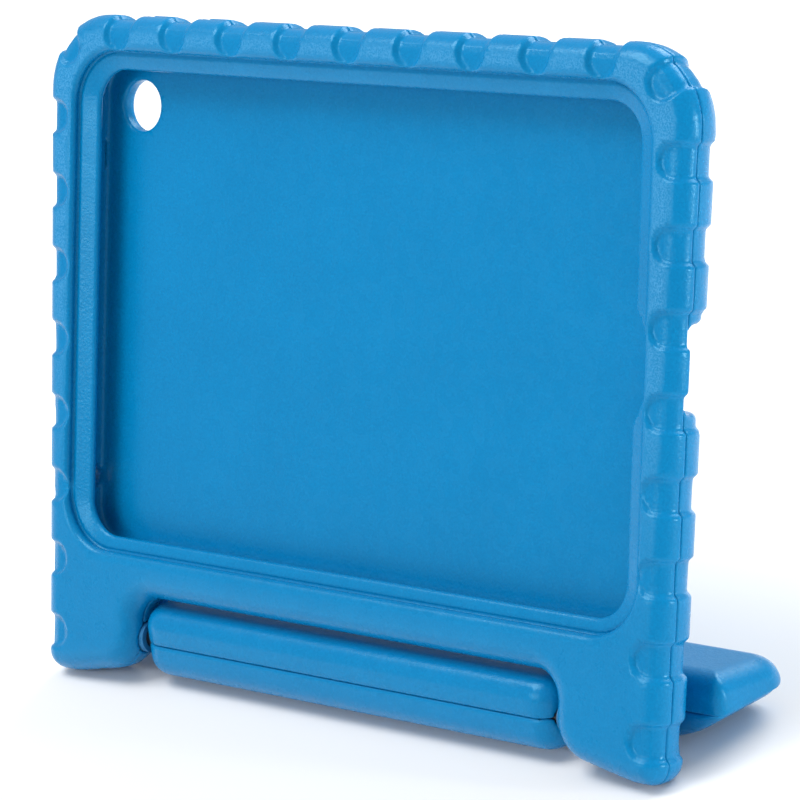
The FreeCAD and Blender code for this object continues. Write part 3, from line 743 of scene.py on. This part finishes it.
def dress_nodes():
    """Give the CAD nodes that stay in view their own materials."""
    nylon = plastic_material("nylon_blue", NYLON, 1800.0)
    rubber = plastic_material("ring_rubber", RING_RUBBER, 900.0)
    steel = steel_material()
    dresses = {"hinge_pin": steel, "pin_clip": steel, "friction_ring": rubber,
               "leg_socket": nylon, "handle_core": nylon}
    for name, item in frame["nodes"].items():
        for start, material in dresses.items():
            if name.startswith(start):
                item.data.materials.clear()
                item.data.materials.append(material)


# ---------------------------------------------------------------- camera, lights and floor

# the camera's place in millimetres, its angles in degrees, its lens and sensor in millimetres
CAMERA_PLACE = (757.1, -812.7, 107.6)
CAMERA_AZIMUTH = 42.307
CAMERA_FALL = 6.450
CAMERA_ROLL = 1.588
CAMERA_LENS = 190.27
CAMERA_SENSOR = 36.0
CAMERA_REACH = 20.0

# soft boxes: place, aim and size in metres, and power in watts
AIM = (0.0, 0.0, 0.08)
LIGHTS = {
    "top_box": ((-0.5, -0.4, 1.4), AIM, (0.9, 0.7), 15.0),
    "front_box": ((-0.4, -1.8, 0.9), AIM, (1.0, 0.6), 10.0),
    "back_box": ((0.2, 1.3, 1.2), (0.0, 0.3, 0.0), (1.6, 0.8), 24.0),
    "right_box": ((1.4, 0.25, 0.2), AIM, (0.08, 0.4), 8.0),
}
FLOOR_HALF = 3.0
WORLD_STRENGTH = 0.5


def photo_camera():
    """The photograph's viewpoint, set out in the body's own upright frame."""
    azimuth, fall, roll = (math.radians(v) for v in (CAMERA_AZIMUTH, CAMERA_FALL, CAMERA_ROLL))
    ahead = Vector((-math.sin(azimuth) * math.cos(fall), math.cos(azimuth) * math.cos(fall),
                    -math.sin(fall)))
    level = Vector((math.cos(azimuth), math.sin(azimuth), 0.0))
    upright = level.cross(ahead)
    right = level * math.cos(roll) + upright * math.sin(roll)
    up = right.cross(ahead)
    turn = Matrix((right, up, -ahead)).transposed().to_4x4()
    data = bpy.data.cameras.new("photo_camera")
    data.lens = CAMERA_LENS
    data.sensor_width = CAMERA_SENSOR
    data.clip_end = CAMERA_REACH
    camera = bpy.data.objects.new("photo_camera", data)
    place = Matrix.Translation(Vector(CAMERA_PLACE) * MM)
    camera.matrix_world = body_frame @ place @ turn
    bpy.context.scene.collection.objects.link(camera)
    bpy.context.scene.camera = camera


def soft_light(name, place, aim, size, power):
    """A rectangular area light that faces its aim."""
    data = bpy.data.lights.new(name, "AREA")
    data.shape = "RECTANGLE"
    data.size, data.size_y = size
    data.energy = power
    item = bpy.data.objects.new(name, data)
    item.location = place
    item.rotation_euler = (Vector(aim) - Vector(place)).to_track_quat("-Z", "Y").to_euler()
    bpy.context.scene.collection.objects.link(item)


def studio():
    """A pale seamless floor, soft boxes above and in front, and a pale surround."""
    half = FLOOR_HALF
    mesh = bpy.data.meshes.new("studio_floor")
    mesh.from_pydata([(-half, -half, 0), (half, -half, 0), (half, half, 0), (-half, half, 0)],
                     [], [(0, 1, 2, 3)])
    floor = bpy.data.objects.new("studio_floor", mesh)
    bpy.context.scene.collection.objects.link(floor)
    material, tree, shader = new_material("floor_paper", PAPER, 0.7)
    where = tree.nodes.new("ShaderNodeTexCoord")
    tree.links.new(ramp(tree, noise(tree, where, 3.0), (0.2, 0.8), PAPERS),
                   shader.inputs["Base Color"])
    mesh.materials.append(material)
    for name, (place, aim, size, power) in LIGHTS.items():
        soft_light(name, place, aim, size, power)
    world = bpy.data.worlds.new("studio")
    bpy.context.scene.world = world
    world.use_nodes = True
    backdrop = world.node_tree.nodes["Background"]
    backdrop.inputs["Color"].default_value = (1.0, 1.0, 1.0, 1.0)
    backdrop.inputs["Strength"].default_value = WORLD_STRENGTH
    bpy.context.scene.view_settings.view_transform = "Standard"


# ---------------------------------------------------------------- build

foam = foam_material()
front_shell(foam)
back_shell(foam)
for button in BUTTONS:
    button_pad(button, foam)
handle_half("handle_top", True, foam)
handle_half("handle_bottom", False, foam)
dress_nodes()
photo_camera()
studio()
